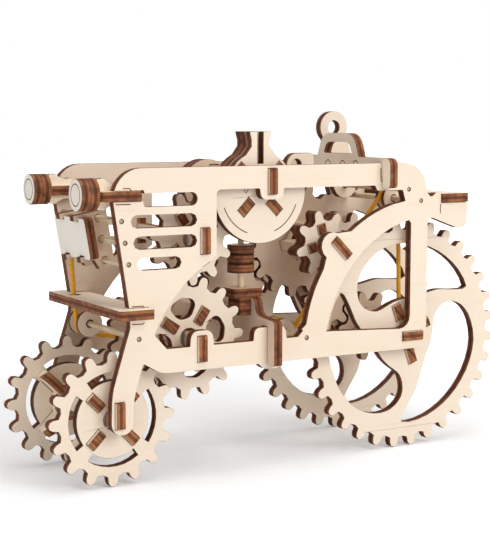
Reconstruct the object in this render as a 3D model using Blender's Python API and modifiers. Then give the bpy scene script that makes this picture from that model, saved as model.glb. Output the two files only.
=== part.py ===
"""Wooden tractor construction model, cut from 3 mm plywood and driven by rubber bands.

Metres, +Z up. The tractor's rear is towards +X and its left side towards -Y.
The tractor stands on Z = 0, with its origin under the middle of its box.
Side-on places are measured in millimetres from the front axle, and converted by MM.
"""
import math

import bpy
import bmesh
from mathutils import Matrix, Vector

MM = 0.001

# Overall layout, in millimetres from the front axle
PLY = 3.0
FIT = 0.2
RUN = 0.35
FRAME_OUTER = 23.8
FRAME_INNER = FRAME_OUTER - PLY
PROUD = 1.0

# Gears: one module for every meshing pair
MODULE = 2.4
ADDENDUM = 1.6
DEDENDUM = 2.05
TOOTH_WIDTH = 2.9
DRIVE_TEETH = 15
TOP_TEETH = 11
PINION_TEETH = 7
LINK_TEETH = 9
NEAR_LAYER = -13.8
INNER_LAYER = 3.5

# Road wheels
FRONT_TEETH = 16
FRONT_RADIUS = 21.0
FRONT_Y = 17.3
REAR_TEETH = 32
REAR_RADIUS = 39.1
REAR_Y = 17.7
REAR_PHASE = 180 / REAR_TEETH
FRONT_PHASE = 90.0
WHEEL_TOOTH_DEPTH = 3.7
WHEEL_TOOTH_WIDTH = 3.2

# Flat cross bars that carry the turning pieces
BAR_WIDTH = 8.0
BAR_NECK = 5.0
BAR_HOLE = 3.25
SLIM_BAR = 3.0
SLIM_HOLE = 2.4
HUB_INNER = 5.3
HUB_OUTER = 10.8
PIN_RADIUS = 1.0
PIN_HOLE = PIN_RADIUS + FIT
PIN_TIP = 0.62
PIN_TIP_HOLE = PIN_TIP + FIT

# Axes, as (x, z) from the front axle
REAR_AXIS = (109.3, 38.912)
GROUND = REAR_AXIS[1] - REAR_RADIUS * math.cos(math.radians(REAR_PHASE))
FRONT_AXIS = (0.6, GROUND + FRONT_RADIUS)
DRIVE_AXIS = (28.7, 43.3)
TOP_AXIS_ANGLE = 87.8
PINION_AXIS_ANGLE = 28.4
LUG_AXIS = (53.9, 92.2)
PULLEY_FLANGE = 4.4
PULLEY_CLEARANCE = 0.26
PULLEY_AHEAD = 6.6
GUIDE_CLEARANCE = 3.2
FRONT_PULLEY_AXIS = (FRONT_AXIS[0] + PULLEY_AHEAD, FRONT_AXIS[1] + math.sqrt(
    (FRONT_RADIUS + PULLEY_FLANGE + PULLEY_CLEARANCE) ** 2 - PULLEY_AHEAD ** 2))
GUIDE_AXIS = (REAR_AXIS[0] - REAR_RADIUS - GUIDE_CLEARANCE, 41.5)
DRUM_AXIS = (112.2, 84.4)
LEVER_AXIS = (107.1, 88.3)
PULL_LEVER_Y = -7.5
PULL_LEVER_Z = 94.2
PULL_LEVER_HEIGHT = 3.0
REST_AXIS = (82.0, PULL_LEVER_Z - PULL_LEVER_HEIGHT / 2 - FIT - PIN_RADIUS)
GRILLE_PINS = ((1.7, 81.5), (2.8, 75.0), (3.9, 68.5))

# Side frame
TOP_Z = 97.15
BAR_TOP = 42.0
BAR_BOTTOM = 34.6
POST_LEFT = 108.2
POST_RIGHT = 115.1
PLATFORM_Z = FRONT_PULLEY_AXIS[1] + PULLEY_FLANGE + PLY / 2 + 2.05
PLATFORM_FRONT = -1.0
PLATFORM_BACK = 10.3
OVERHANG = 28.4
HEADLIGHT_ARM_Z = 88.9
HEADLIGHT_ARM_END = 8.2
DASH_X = 97.5
DASH_SEAT = 92.8
ARCH_SHIFT = 2.3
HITCH_Z = 85.0
HITCH_FRONT = 120.8
HITCH_BACK = 131.6
CLIP_X = 53.6

# Lamps, badge, engine and governor
HEADLIGHT_X = -10.8
HEADLIGHT_Y = 18.6
HEADLIGHT_Z = 89.4
HEADLIGHT_RADIUS = 4.9
BADGE_TOP_X = -5.2
BADGE_LEAN = 9.6
BADGE_WIDTH = 23.5
BADGE_HEIGHT = 12.9
BADGE_Z = 75.3
BADGE_BRACKET_Y = 5.5
BADGE_NOTCH = 1.0
BAND_Y = 15.0
ENGINE_FRONT_Y = -19.0
ENGINE_AXIS = (51.5, 89.2)
ENGINE_RADIUS = 16.7
FLASK_RADIUS = 12.4
FLASK_TOP = 107.7
NECK_WIDTH = 6.4
ENGINE_BACK_RADIUS = 11.0
ENGINE_UPPER_TABS = (8.2, 11.3, (45, 135))
ENGINE_LOWER_TABS = (4.5, 10.0, (225, 315))
ENGINE_COLLAR = (8.3, 10.0, 2.0)
MOUTH_WIDTH = 7.6
FAR_DISC_RADIUS = 9.0
FAR_DISC_Y = 17.0
GOVERNOR_X = 50.4
GOVERNOR_Y = -10.0
GOVERNOR_RADIUS = 4.4
GOVERNOR_TOP = 71.4
GOVERNOR_SEAT = 57.5

# Levers
PULL_LEVER_RING = 3.8
PULL_LEVER_HOLE = 2.0
PULL_LEVER_RING_Z = 96.6
PULL_LEVER_HIGH = 6.8
PULL_LEVER_FRONT = 72.2
PULL_LEVER_BACK = 110.0
RING_LEVER_Y = 15.2
RING_LEVER_TOP = (102.0, 108.6)
RING_OUTER = 5.6
RING_FOOT = 4.8
RING_INNER = 2.5

# Wheels, hubs and pulleys: turns are in degrees, windows in (radius, degrees)
FOUR = (45, 135, 225, 315)
DRIVE_TURN = (57, 147, 237, 327)
TOP_TURN = (30, 120, 210, 300)
PINION_TURN = (104, 194, 284, 14)
NEAR_PINION_TEETH = 8
PINION_PHASE = 14.7
REAR_TURN = (20, 110, 200, 290)
REAR_WINDOW = ((30.4, 29), (26.6, 31.5), (23, 38), (20, 46), (17, 53.5), (14.4, 64), (12.4, 80),
               (12.0, 100), (12.2, 120), (13.2, 138), (15.2, 146), (18.4, 149), (21.6, 147.5),
               (24.6, 142), (27, 135), (29, 125), (30.6, 112), (31, 98), (31, 84), (31, 70),
               (31, 56), (31, 42))
REAR_HUB_OUTER = 10.8
HUB_COLLAR = (4.8, 6.2, PLY)
REAR_COLLAR = (4.8, 6.2, 5.0)
SLIM_COLLAR = (2.7, 4.4, PLY)
SLIM_HUB_INNER = 3.4
SLIM_HUB_OUTER = 6.6
CARRIER_Y = 8.0
CARRIER_HALF = 6.0
PULLEY_CORE = 2.6
PULLEY_GROOVE = 2.0
WIDE_GROOVE = 4.8
WIDE_PULLEY_Y = 16.4
PULLEY_CHEEK = 1.5
REAR_BAND_Y = -6.0
REAR_SPOOL = 6.4
BAND_RADIUS = 0.8
BAND_GAP = 0.3
BAND_CROSS = 1.3
SMOOTHING = 2

# The box's middle lies under the origin
ORIGIN_X = (REAR_AXIS[0] + REAR_RADIUS * math.cos(math.radians(REAR_PHASE))
            + FRONT_AXIS[0] - FRONT_RADIUS) / 2


def polar(radius, degrees, centre=(0.0, 0.0)):
    angle = math.radians(degrees)
    return (centre[0] + radius * math.cos(angle), centre[1] + radius * math.sin(angle))


def along(start, length, degrees):
    return polar(length, degrees, start)


def pitch_radius(teeth):
    return MODULE * teeth / 2


TOP_AXIS = along(DRIVE_AXIS, pitch_radius(DRIVE_TEETH + TOP_TEETH), TOP_AXIS_ANGLE)
LINK_AXIS = along(DRIVE_AXIS, pitch_radius(DRIVE_TEETH + LINK_TEETH), PINION_AXIS_ANGLE)
PINION_AXIS = along(LINK_AXIS, pitch_radius(DRIVE_TEETH + LINK_TEETH), PINION_AXIS_ANGLE)


def third_corner(first, second, from_first, from_second):
    """The point at two given distances from two axes, on the left of the way between them."""
    dx = second[0] - first[0]
    dz = second[1] - first[1]
    gap = math.hypot(dx, dz)
    run = (from_first ** 2 - from_second ** 2 + gap ** 2) / (2 * gap)
    rise = math.sqrt(from_first ** 2 - run ** 2)
    return (first[0] + (run * dx - rise * dz) / gap, first[1] + (run * dz + rise * dx) / gap)


IDLER_AXIS = third_corner(REAR_AXIS, PINION_AXIS, pitch_radius(LINK_TEETH + PINION_TEETH),
                          pitch_radius(DRIVE_TEETH + PINION_TEETH))


def direction(start, end):
    return math.degrees(math.atan2(end[1] - start[1], end[0] - start[0]))


def mesh_phase(phase, teeth, start, end, next_teeth):
    """The tooth angle that puts a gap of the next gear against a tooth of this one."""
    line = direction(start, end)
    return line + 180 - (phase - line) * teeth / next_teeth + 180 / next_teeth


DRIVE_PHASE = 1.0
TOP_PHASE = mesh_phase(DRIVE_PHASE, DRIVE_TEETH, DRIVE_AXIS, TOP_AXIS, TOP_TEETH)
LINK_PHASE = mesh_phase(DRIVE_PHASE, DRIVE_TEETH, DRIVE_AXIS, LINK_AXIS, LINK_TEETH)
BIG_PHASE = mesh_phase(LINK_PHASE, LINK_TEETH, LINK_AXIS, PINION_AXIS, DRIVE_TEETH)
IDLER_PHASE = mesh_phase(BIG_PHASE, DRIVE_TEETH, PINION_AXIS, IDLER_AXIS, PINION_TEETH)
AXLE_PHASE = mesh_phase(IDLER_PHASE, PINION_TEETH, IDLER_AXIS, REAR_AXIS, LINK_TEETH)


# Outlines: lists of (x, z) in millimetres

def arc(centre, radius, start, end, steps):
    return [polar(radius, start + (end - start) * i / steps, centre) for i in range(steps + 1)]


def circle(radius, centre=(0.0, 0.0), steps=20):
    return [polar(radius, 360 * i / steps, centre) for i in range(steps)]


def box_loop(centre, width, height, degrees=0.0):
    corners = ((-1, -1), (1, -1), (1, 1), (-1, 1))
    angle = math.radians(degrees)
    loop = []
    for side, level in corners:
        x = side * width / 2
        z = level * height / 2
        loop.append((centre[0] + x * math.cos(angle) - z * math.sin(angle),
                     centre[1] + x * math.sin(angle) + z * math.cos(angle)))
    return loop


def rounded(corners, steps=4):
    """A closed outline through corners (x, z, radius), each rounded by an arc."""
    loop = []
    count = len(corners)
    for i, (x, z, radius) in enumerate(corners):
        here = Vector((x, z))
        before = Vector(corners[i - 1][:2]) - here
        after = Vector(corners[(i + 1) % count][:2]) - here
        if radius <= 0:
            loop.append((x, z))
            continue
        half = before.angle(after) / 2
        reach = min(radius / math.tan(half), before.length * 0.49, after.length * 0.49)
        radius = reach * math.tan(half)
        middle = here + (before.normalized() + after.normalized()).normalized() * radius / math.sin(half)
        first = here + before.normalized() * reach - middle
        last = here + after.normalized() * reach - middle
        sweep = math.atan2(first.x * last.y - first.y * last.x, first.dot(last))
        for step in range(steps + 1):
            turn = sweep * step / steps
            loop.append((middle.x + first.x * math.cos(turn) - first.y * math.sin(turn),
                         middle.y + first.x * math.sin(turn) + first.y * math.cos(turn)))
    return loop


def smoothed(loop):
    """Adds points between those of a closed outline, on a smooth curve through them."""
    fine = []
    count = len(loop)
    for i in range(count):
        four = [Vector(loop[(i + shift) % count]) for shift in (-1, 0, 1, 2)]
        for step in range(SMOOTHING):
            t = step / SMOOTHING
            a, b, c, d = four
            point = b + (c - a) * t / 2 + (2 * a - 5 * b + 4 * c - d) * t ** 2 / 2
            point += (3 * b - a - 3 * c + d) * t ** 3 / 2
            fine.append(tuple(point))
    return fine


def slot(centre, length, width, steps=4):
    half = (length - width) / 2
    right = arc((centre[0] + half, centre[1]), width / 2, -90, 90, steps)
    left = arc((centre[0] - half, centre[1]), width / 2, 90, 270, steps)
    return right + left


def toothed(teeth, tip, root, width, phase=0.0):
    """A wheel's outline, with round-ended teeth and round gaps."""
    loop = []
    end = width / 2
    foot_angle = math.degrees((width / 2 + 0.15) / root)
    gap_angle = 180 / teeth
    for tooth in range(teeth):
        middle = phase + 360 * tooth / teeth
        centre = polar(tip - end, middle)
        loop.append(polar(root + 0.55, middle - foot_angle))
        for turn in (-85, -42, 0, 42, 85):
            loop.append(polar(end, middle + turn, centre))
        loop.append(polar(root + 0.55, middle + foot_angle))
        loop.append(polar(root, middle + gap_angle))
    return loop


def gear_outline(teeth, phase):
    pitch = pitch_radius(teeth)
    return toothed(teeth, pitch + ADDENDUM, pitch - DEDENDUM, TOOTH_WIDTH, phase)


def radial_slots(inner, outer, angles):
    middle = (inner + outer) / 2
    return [box_loop(polar(middle, a), outer - inner + 2 * FIT, PLY + 2 * FIT, a) for a in angles]


# Scene helpers

def clear_scene():
    for obj in list(bpy.data.objects):
        bpy.data.objects.remove(obj, do_unlink=True)


clear_scene()
TRACTOR = bpy.data.collections.new("wooden_tractor")
FORMS = bpy.data.collections.new("construction_forms")
bpy.context.scene.collection.children.link(TRACTOR)
bpy.context.scene.collection.children.link(FORMS)
BASE = bpy.data.objects.new("tractor_base", None)
TRACTOR.objects.link(BASE)
BASE.location = (-ORIGIN_X * MM, 0, -GROUND * MM)


def material(name, colour, roughness):
    mat = bpy.data.materials.new(name)
    mat.use_nodes = True
    shader = mat.node_tree.nodes["Principled BSDF"]
    shader.inputs["Base Color"].default_value = (*colour, 1)
    shader.inputs["Roughness"].default_value = roughness
    shader.inputs["Metallic"].default_value = 0
    mat.diffuse_color = (*colour, 1)
    return mat


def ply_material(name):
    return material(name + "_ply", (0.86, 0.74, 0.55), 0.6)


def add_object(obj, location, mat):
    TRACTOR.objects.link(obj)
    obj.parent = BASE
    obj.location = [value * MM for value in location]
    obj.data.materials.append(mat)
    return obj


def flat_curve(name, loops, thickness):
    curve = bpy.data.curves.new(name, "CURVE")
    curve.dimensions = "2D"
    curve.fill_mode = "BOTH"
    curve.extrude = thickness * MM / 2
    for loop in loops:
        spline = curve.splines.new("POLY")
        spline.points.add(len(loop) - 1)
        for point, (u, v) in zip(spline.points, loop):
            point.co = (u * MM, v * MM, 0, 1)
        spline.use_cyclic_u = True
    return bpy.data.objects.new(name, curve)


def side_plate(name, loops, y, axis=(0.0, 0.0), thickness=PLY):
    """A plate seen from the side: its outline is in X and Z round its axis."""
    obj = flat_curve(name, loops, thickness)
    obj.rotation_euler = (math.radians(90), 0, 0)
    return add_object(obj, (axis[0], y, axis[1]), ply_material(name))


def aim(obj, right, up):
    """Turns an object so that its local X and Y lie along two world directions."""
    right = Vector(right)
    up = Vector(up)
    obj.rotation_mode = "QUATERNION"
    obj.rotation_quaternion = Matrix((right, up, right.cross(up))).transposed().to_quaternion()


def cross_plate(name, loops, x, z=0.0, lean=0.0, thickness=PLY):
    """A plate across the tractor: its outline is in Y and Z, and its top may lean forward."""
    obj = flat_curve(name, loops, thickness)
    aim(obj, (0, 1, 0), (-math.sin(math.radians(lean)), 0, math.cos(math.radians(lean))))
    return add_object(obj, (x, 0, z), ply_material(name))


def level_plate(name, loops, z, x=0.0, y=0.0, thickness=PLY):
    """A plate lying level: its outline is in X and Y."""
    return add_object(flat_curve(name, loops, thickness), (x, y, z), ply_material(name))


def wood_material(name):
    return material(name + "_wood", (0.84, 0.73, 0.56), 0.6)


def tube(name, routes, radius, origin, mat, closed=False):
    """Round rods or bands in one object: each route is a list of points."""
    curve = bpy.data.curves.new(name, "CURVE")
    curve.dimensions = "3D"
    curve.bevel_depth = radius * MM
    curve.bevel_resolution = 2
    curve.use_fill_caps = True
    for route in routes:
        spline = curve.splines.new("POLY")
        spline.points.add(len(route) - 1)
        for point, place in zip(spline.points, route):
            point.co = (*[value * MM for value in Vector(place) - Vector(origin)], 1)
        spline.use_cyclic_u = closed
    return add_object(bpy.data.objects.new(name, curve), origin, mat)


def turned(name, profiles, location, upright=False, steps=18, closed=True):
    """A turned shape: profiles of (radius, height), each down its outer side.

    An open profile starts and ends on the axis."""
    mesh = bpy.data.meshes.new(name)
    points = []
    edges = []
    for profile in profiles:
        first = len(points)
        count = len(profile)
        points += [(r * MM, 0, h * MM) for r, h in profile]
        sides = count if closed else count - 1
        edges += [(first + i, first + (i + 1) % count) for i in range(sides)]
    mesh.from_pydata(points, edges, [])
    obj = bpy.data.objects.new(name, mesh)
    screw = obj.modifiers.new("turn", "SCREW")
    screw.axis = "Z"
    screw.steps = steps
    screw.render_steps = steps
    screw.use_merge_vertices = True
    screw.merge_threshold = 0.00001
    screw.use_smooth_shade = True
    if not upright:
        obj.rotation_euler = (math.radians(90), 0, 0)
    add_object(obj, location, wood_material(name))
    creases = obj.modifiers.new("creases", "EDGE_SPLIT")
    creases.split_angle = math.radians(30)
    return obj


def ring_profile(inner, outer, low, high):
    return [(inner, high), (outer, high), (outer, low), (inner, low)]


def plate_group(name, loops, turns, location):
    """Equal plates in one object, each placed by its own matrix round the location."""
    pattern = flat_curve(name + "_pattern", loops, PLY)
    TRACTOR.objects.link(pattern)
    bpy.context.view_layer.update()
    ready = pattern.evaluated_get(bpy.context.evaluated_depsgraph_get())
    flat = bpy.data.meshes.new_from_object(ready)
    bpy.data.objects.remove(pattern, do_unlink=True)
    shape = bmesh.new()
    for turn in turns:
        known = set(shape.verts)
        shape.from_mesh(flat)
        fresh = [vert for vert in shape.verts if vert not in known]
        bmesh.ops.transform(shape, matrix=turn, verts=fresh)
    bmesh.ops.remove_doubles(shape, verts=shape.verts, dist=0.000005)
    mesh = bpy.data.meshes.new(name)
    shape.to_mesh(mesh)
    shape.free()
    bpy.data.meshes.remove(flat)
    return add_object(bpy.data.objects.new(name, mesh), location, ply_material(name))


def radial_plates(name, axis, angles, outline):
    """Equal flat plates set round a shaft: the outline is (radius, y)."""
    turns = []
    for degrees in angles:
        out = Vector((*polar(1, degrees), 0)).xzy
        across = Vector((0, 1, 0))
        turns.append(Matrix((out, across, out.cross(across))).transposed().to_4x4())
    return plate_group(name, [outline], turns, (axis[0], 0, axis[1]))


def as_mesh(obj):
    """A welded mesh in place of a curve, under the same name."""
    bpy.context.view_layer.update()
    ready = obj.evaluated_get(bpy.context.evaluated_depsgraph_get())
    mesh = bpy.data.meshes.new_from_object(ready)
    shape = bmesh.new()
    shape.from_mesh(mesh)
    bmesh.ops.remove_doubles(shape, verts=shape.verts, dist=0.000005)
    shape.to_mesh(mesh)
    shape.free()
    name = obj.name
    solid = bpy.data.objects.new(name + "_solid", mesh)
    TRACTOR.objects.link(solid)
    solid.parent = BASE
    solid.matrix_local = obj.matrix_local.copy()
    bpy.data.objects.remove(obj, do_unlink=True)
    solid.name = name
    return solid


def join(main, form):
    """Makes one body of two overlapping solids."""
    TRACTOR.objects.unlink(form)
    FORMS.objects.link(form)
    form.name = main.name + "_form"
    form.hide_render = True
    form.display_type = "WIRE"
    union = main.modifiers.new("join", "BOOLEAN")
    union.operation = "UNION"
    union.solver = "EXACT"
    union.object = form
    return main


def hub(name, axis, angles, outline, collar, collar_y):
    """Radial strips along a shaft, joined by a collar: the collar is (inner, outer, length)."""
    inner, outer, length = collar
    strips = radial_plates(name, axis, angles, outline)
    ring = turned(name + "_collar", [ring_profile(inner, outer, -length / 2, length / 2)],
                  (axis[0], collar_y, axis[1]))
    return join(strips, ring)


def strip_outline(inner, outer, low, high):
    return [(inner, low), (outer, low), (outer, high), (inner, high)]


def cross_bar(name, axis, degrees=90.0, tab_shift=0.0, neck=None):
    """A flat bar between the frames, whose end tabs pass through them."""
    reach = FRAME_OUTER + PROUD
    inside = FRAME_INNER - FIT
    half = BAR_WIDTH / 2
    body = (neck or BAR_WIDTH) / 2
    outline = [(-reach, tab_shift - half), (-inside, tab_shift - half), (-inside, -body),
               (inside, -body), (inside, tab_shift - half), (reach, tab_shift - half),
               (reach, tab_shift + half), (inside, tab_shift + half), (inside, body),
               (-inside, body), (-inside, tab_shift + half), (-reach, tab_shift + half)]
    obj = flat_curve(name, [outline], PLY)
    aim(obj, (0, 1, 0), Vector((*polar(1, degrees), 0)).xzy)
    return add_object(obj, (axis[0], 0, axis[1]), ply_material(name))


def tab_hole(axis, degrees=90.0, tab_shift=0.0):
    centre = polar(tab_shift, degrees, axis)
    return box_loop(centre, BAR_WIDTH + 2 * FIT, PLY + 2 * FIT, degrees)


# Cross bars: name, axis, direction of the bar's width, shift of the end tabs along it, neck
BARS = {
    "front_axle_bar": (FRONT_AXIS, 90.0, 2.0, BAR_NECK),
    "drive_gear_bar": (DRIVE_AXIS, 90.0, -2.2, BAR_NECK),
    "top_gear_bar": (TOP_AXIS, 90.0, 0.0, BAR_NECK),
    "engine_bar": (LUG_AXIS, 90.0, 0.0, None),
    "pinion_bar": (PINION_AXIS, -45.0, 1.2, SLIM_BAR),
    "rear_axle_bar": (REAR_AXIS, 0.0, 0.0, BAR_NECK),
}
ROD_AXES = {
    "front_pulley_rod": FRONT_PULLEY_AXIS,
    "guide_pulley_rod": GUIDE_AXIS,
    "rear_drum_rod": DRUM_AXIS,
    "ring_lever_rod": LEVER_AXIS,
    "upper_grille_rod": GRILLE_PINS[0],
    "middle_grille_rod": GRILLE_PINS[1],
    "lower_grille_rod": GRILLE_PINS[2],
}


def frame_outline():
    notch = PLY / 2 + FIT
    foot = FRONT_AXIS[1] - BAR_WIDTH / 2
    corners = [
        (-2.2, foot, 3.5), (5.1, foot, 3.5), (5.2, foot + 10.5, 26.0), (8.6, 38.2, 0.5),
        (14.8, BAR_BOTTOM, 8.0), (49.0, BAR_BOTTOM, 1.0), (51.0, 32.7, 2.5), (56.2, 32.7, 2.5),
        (58.0, BAR_BOTTOM, 1.0), (POST_RIGHT, BAR_BOTTOM, 3.6), (POST_RIGHT, 79.2, 1.8),
        (128.0, 74.6, 1.2), (131.7, 75.4, 2.0), (132.0, HITCH_Z - notch, 0),
        (HITCH_FRONT - FIT, HITCH_Z - notch, 0), (HITCH_FRONT - FIT, 86.7, 0.4),
        (POST_RIGHT + 3.5, 86.9, 1.0), (POST_RIGHT + 1.3, 85.2, 1.2), (POST_RIGHT - 0.5, 87.2, 0.4),
        *[(x, z, 0) for x, z in arc((POST_RIGHT - 9.9, TOP_Z - 9.4), 9.4, 0, 90, 6)],
        (DASH_X + notch, TOP_Z, 0), (DASH_X + notch, DASH_SEAT - FIT, 0),
        (DASH_X - notch, DASH_SEAT - FIT, 0), (DASH_X - notch, TOP_Z, 0),
        *[(x, z, 0) for x, z in arc((8.3, TOP_Z - 9.2), 9.2, 90, 162, 6)],
        (-0.6, HEADLIGHT_ARM_Z + notch, 0), (9.0, HEADLIGHT_ARM_Z + notch, 0), (9.4, 89.6, 0.2),
        (27.3, 89.6, 2.0), (27.3, 85.5, 2.0), (9.0, 85.5, 1.0), (9.0, HEADLIGHT_ARM_Z - notch, 0.3),
        (-0.9, HEADLIGHT_ARM_Z - notch, 0),
        (4.0, PLATFORM_Z + notch, 0), (PLATFORM_BACK + FIT, PLATFORM_Z + notch, 0),
        (PLATFORM_BACK + FIT, PLATFORM_Z - notch, 0), (4.2, PLATFORM_Z - notch, 0),
        (4.4, 49.5, 8.0), (-1.8, foot + 13.0, 25.0),
    ]
    return rounded(corners, 4)


def central_opening():
    """The large opening between the louvres, the arch and the two bars."""
    arch = (112.67, 38.74)
    swoop = (54.61, 28.24)
    loop = rounded([(33.9, 69.5, 0), (33.9, 90.1, 1.6), (49.4, 90.1, 0.5), (50.0, 86.5, 3.7),
                    (57.8, 86.5, 3.7), (58.2, 90.0, 0.5), (93.4, 89.9, 0.5), (94.3, 88.2, 0.5),
                    (104.6, 88.2, 0.6), (105.8, 84.4, 0.3)], 4)
    loop += arc(arch, 46.3, 105, 128, 5)
    loop += arc((77.0, 70.8), 4.4, 66, 236, 7)
    loop += arc(arch, 46.3, 148, 171, 5)
    loop += rounded([(66.2, 44.4, 0.4), (63.7, BAR_TOP, 0.3), (59.4, BAR_TOP, 0.4), (58.9, 46.1, 2.0),
                     (47.5, 46.1, 2.0), (47.2, BAR_TOP, 0.4), (32.9, BAR_TOP, 0.3), (32.4, 46.8, 3.6),
                     (25.0, 46.8, 3.6), (24.6, BAR_TOP, 0.3), (16.5, BAR_TOP, 0)], 4)
    loop += arc(swoop, 46.1, 156.5, 118, 7)
    return loop


def arch_opening():
    inner = arc((117.6, 35.8), 43.6, 170.5, 107, 10)
    foot = arc((POST_LEFT - 4.2, BAR_TOP + 3.8), 4.2, 0, -90, 4)
    return inner[::-1] + foot[::-1] + [(POST_LEFT, 77.0), (107.4, 78.0)]


def frame_loops():
    loops = [frame_outline(), central_opening(), arch_opening()]
    loops.append(slot((15.9, 81.2), 22.4, 4.0))
    loops.append(slot((16.3, 74.8), 21.6, 4.0))
    loops.append(slot((14.2, 68.4), 14.9, 3.8))
    for axis, degrees, shift, neck in BARS.values():
        loops.append(tab_hole(axis, degrees, shift))
    for axis in ROD_AXES.values():
        loops.append(circle(PIN_TIP_HOLE, axis, 10))
    return loops


def make_frames():
    for name, side in (("left_frame", -1), ("right_frame", 1)):
        side_plate(name, frame_loops(), side * (FRAME_OUTER - PLY / 2))
    for name, (axis, degrees, shift, neck) in BARS.items():
        cross_bar(name, axis, degrees, shift, neck)


def rod(name, axis, tip=FRAME_OUTER - 0.3):
    """A round rod between the frames, whose thin ends sit in their holes."""
    shoulder = FRAME_INNER - RUN
    profile = [(0, shoulder), (PIN_RADIUS, shoulder), (PIN_RADIUS, -shoulder), (0, -shoulder)]
    if tip:
        profile = ([(0, tip), (PIN_TIP, tip), (PIN_TIP, shoulder)] + profile[1:3]
                   + [(PIN_TIP, -shoulder), (PIN_TIP, -tip), (0, -tip)])
    turned(name, [profile], (axis[0], 0, axis[1]), steps=12, closed=False)


def make_rods():
    for name, axis in ROD_AXES.items():
        rod(name, axis)
    rod("lever_rest_rod", REST_AXIS, None)


# Body panels and fittings that stay still


def make_platform():
    front = PLATFORM_FRONT
    back = PLATFORM_BACK
    outline = rounded([(front, -OVERHANG, 1.5), (back, -OVERHANG, 0.6), (back, OVERHANG, 0.6),
                       (front, OVERHANG, 1.5)], 3)
    band_hole = circle(1.9, (FRONT_PULLEY_AXIS[0] - 4.0, BAND_Y), 12)
    level_plate("front_platform", [outline, band_hole], PLATFORM_Z)


def make_headlights():
    face = circle(HEADLIGHT_RADIUS, (0, 0), 28)
    back = 2 * PLY + FIT
    wide = HEADLIGHT_RADIUS - 0.3
    outline = [(back, -wide)] + arc((back + 6.0, -wide - 3.2), 4.6, 140, 72, 4)
    outline += [(back + 9.5, -2.6), (back + 9.5, 2.6)]
    outline += arc((back + 6.0, wide + 3.2), 4.6, -72, -140, 4) + [(back, wide)]
    start = HEADLIGHT_X + back
    outer = FRAME_OUTER + PROUD
    inner = HEADLIGHT_Y - 3.0
    for name, side in (("left_headlight", -1), ("right_headlight", 1)):
        y = side * HEADLIGHT_Y
        lens = cross_plate(name, [face], HEADLIGHT_X + PLY, HEADLIGHT_Z, thickness=2 * PLY)
        lens.location.y = y * MM
        reflector = side_plate(name + "_bracket", [outline], y, (HEADLIGHT_X, HEADLIGHT_Z))
        corners = [(start, side * inner, 0.6), (start, side * outer, 0.6),
                   (HEADLIGHT_ARM_END, side * outer, 0.6), (HEADLIGHT_ARM_END, side * inner, 0.6)]
        arm = level_plate(name + "_arm", [rounded(corners, 2)], HEADLIGHT_ARM_Z)
        join(as_mesh(reflector), as_mesh(arm))


def make_badge():
    """The plain front badge leans back with the grille, and two brackets clip it to the rods."""
    lean = math.radians(BADGE_LEAN)
    half_w = BADGE_WIDTH / 2
    half_h = BADGE_HEIGHT / 2
    notch = PLY / 2 + FIT
    deep = half_h - BADGE_NOTCH
    corners = [(-half_w, -half_h, 1.2)]
    for y in (-BADGE_BRACKET_Y, BADGE_BRACKET_Y):
        corners += [(y - notch, -half_h, 0), (y - notch, -deep, 0), (y + notch, -deep, 0),
                    (y + notch, -half_h, 0)]
    corners += [(half_w, -half_h, 1.2), (half_w, half_h, 1.2)]
    for y in (BADGE_BRACKET_Y, -BADGE_BRACKET_Y):
        corners += [(y + notch, half_h, 0), (y + notch, deep, 0), (y - notch, deep, 0),
                    (y - notch, half_h, 0)]
    outline = rounded(corners + [(-half_w, half_h, 1.2)], 3)
    front = BADGE_TOP_X + half_h * math.tan(lean)
    middle = (front + PLY / 2 * math.cos(lean), BADGE_Z + PLY / 2 * math.sin(lean))
    cross_plate("badge", [outline], middle[0], middle[1], BADGE_LEAN)
    inner = deep + FIT
    outer = half_h + 0.9
    back = PLY + FIT
    low = -half_h - 4.2
    depth = back + 6.6
    local = [(-1.3, inner), (-1.3, outer), (depth, outer), (depth, low), (back + 1.4, low),
             (back, -outer), (-1.3, -outer), (-1.3, -inner), (back, -inner), (back, inner)]
    loop = [(u * math.cos(lean) - v * math.sin(lean), v * math.cos(lean) + u * math.sin(lean))
            for u, v in local]
    holes = [circle(PIN_HOLE, (x - front, z - BADGE_Z), 10) for x, z in GRILLE_PINS]
    for name, y in (("left_badge_bracket", -BADGE_BRACKET_Y), ("right_badge_bracket", BADGE_BRACKET_Y)):
        side_plate(name, [loop] + holes, y, (front, BADGE_Z))


def flask_outline(radius, bottom_radius, mouth_slot):
    """Round below, with a flared neck above, and the mouth cut open where the slot is wide."""
    level = ENGINE_AXIS[1]
    neck = NECK_WIDTH / 2
    mouth = MOUTH_WIDTH / 2
    height = FLASK_TOP - level
    bar = TOP_Z - level - 3.5
    foot = math.degrees(math.acos((neck + 2.0) / radius))
    shoulder = math.degrees(math.asin(bar / radius))
    wide = math.degrees(math.asin(bar / bottom_radius))
    right = arc((0, 0), radius, shoulder, foot, 5)
    right += [(neck, radius + 1.5), (neck, height - 2.6), (mouth, height - 0.5), (mouth, height)]
    if mouth_slot:
        right += [(mouth_slot / 2, height), (mouth_slot / 2, TOP_Z - level + 0.5)]
    left = [(-u, v) for u, v in right[::-1]]
    return right + left + arc((0, 0), bottom_radius, 180 - wide, 360 + wide, 34)


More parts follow.
